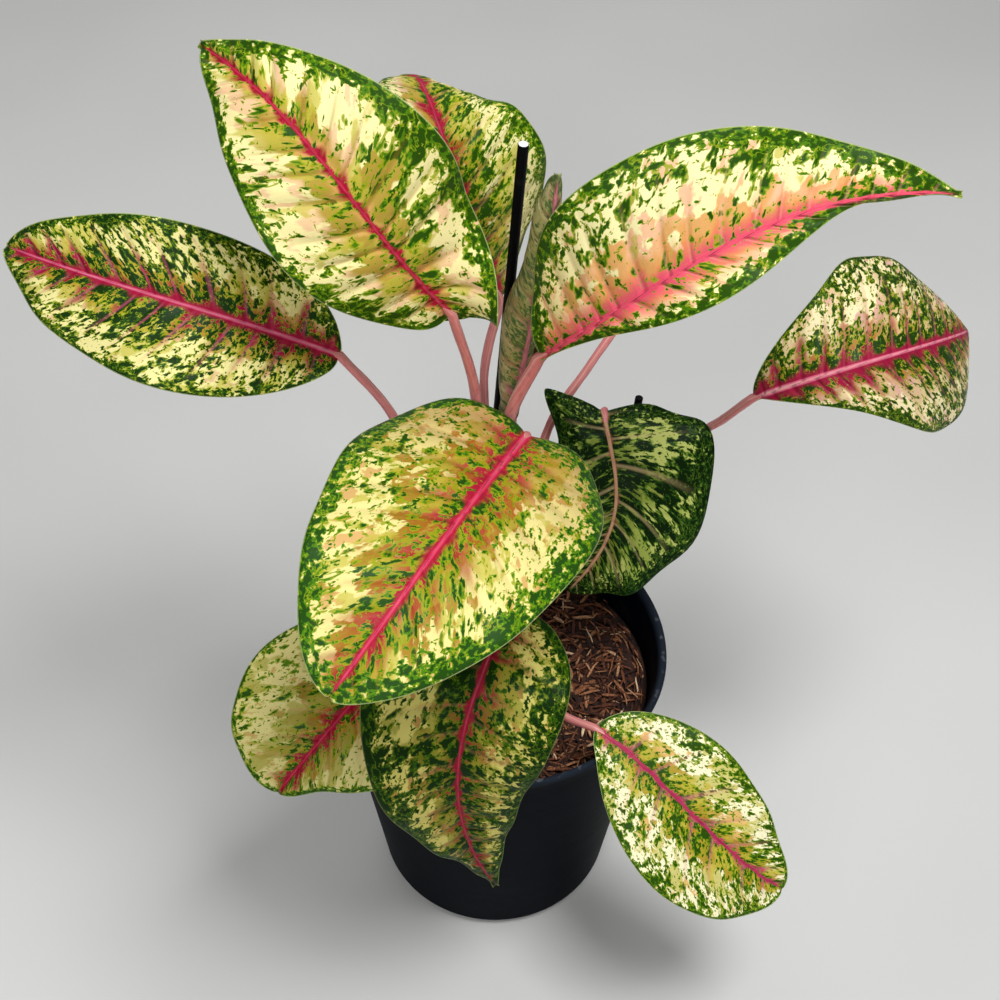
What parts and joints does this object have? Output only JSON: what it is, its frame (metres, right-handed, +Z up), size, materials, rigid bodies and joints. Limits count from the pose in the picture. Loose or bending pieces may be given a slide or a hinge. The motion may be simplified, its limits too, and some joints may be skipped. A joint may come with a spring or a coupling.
{
  "type": "potted carnival queen aglaonema",
  "caption": "Potted aglaonema: broad cream, green and pink leaves with crimson midribs on pink stalks, in a black nursery pot of husk compost with plant stakes.",
  "frame": {"origin": "the middle of the pot's flat underside, on the surface it stands on", "axes": "+Z up along the pot's axis, -Y towards the front of the plant as pictured, +X to the right"},
  "size_m": [0.361, 0.2717, 0.4405],
  "materials": {
    "nursery_pot": "matte black, faintly dusty",
    "compost": "rough, loose husk chips",
    "cane": "green bark with pale leaf scars",
    "stake": "satin black",
    "petiole": "smooth, dusty pink",
    "leaf": "waxy, cream with green blotches and crimson veins",
    "leaf_dark": "waxy, dark green with cream streaks",
    "leaf_rolled": "dull olive underside of a rolled leaf"
  },
  "bodies": {
    "root": {"pot": "nursery_pot", "soil": "compost", "cane": "cane", "stake_tall": "stake", "stake_short": "stake", "petiole_lower_right": "petiole", "blade_lower_right": "leaf", "petiole_lower_left": "petiole", "blade_lower_left": "leaf", "petiole_lower_front": "petiole", "blade_lower_front": "leaf", "petiole_right_turned": "petiole", "blade_right_turned": "leaf_dark", "petiole_far_right": "petiole", "blade_far_right": "leaf", "petiole_left": "petiole", "blade_left": "leaf", "petiole_back_right": "petiole", "blade_back_right": "leaf", "petiole_front": "petiole", "blade_front": "leaf", "petiole_upper_back": "petiole", "blade_upper_back": "leaf", "petiole_upper_left": "petiole", "blade_upper_left": "leaf", "petiole_upper_right": "petiole", "blade_upper_right": "leaf", "petiole_young": "petiole", "blade_young": "leaf_rolled"}
  },
  "joints": []
}
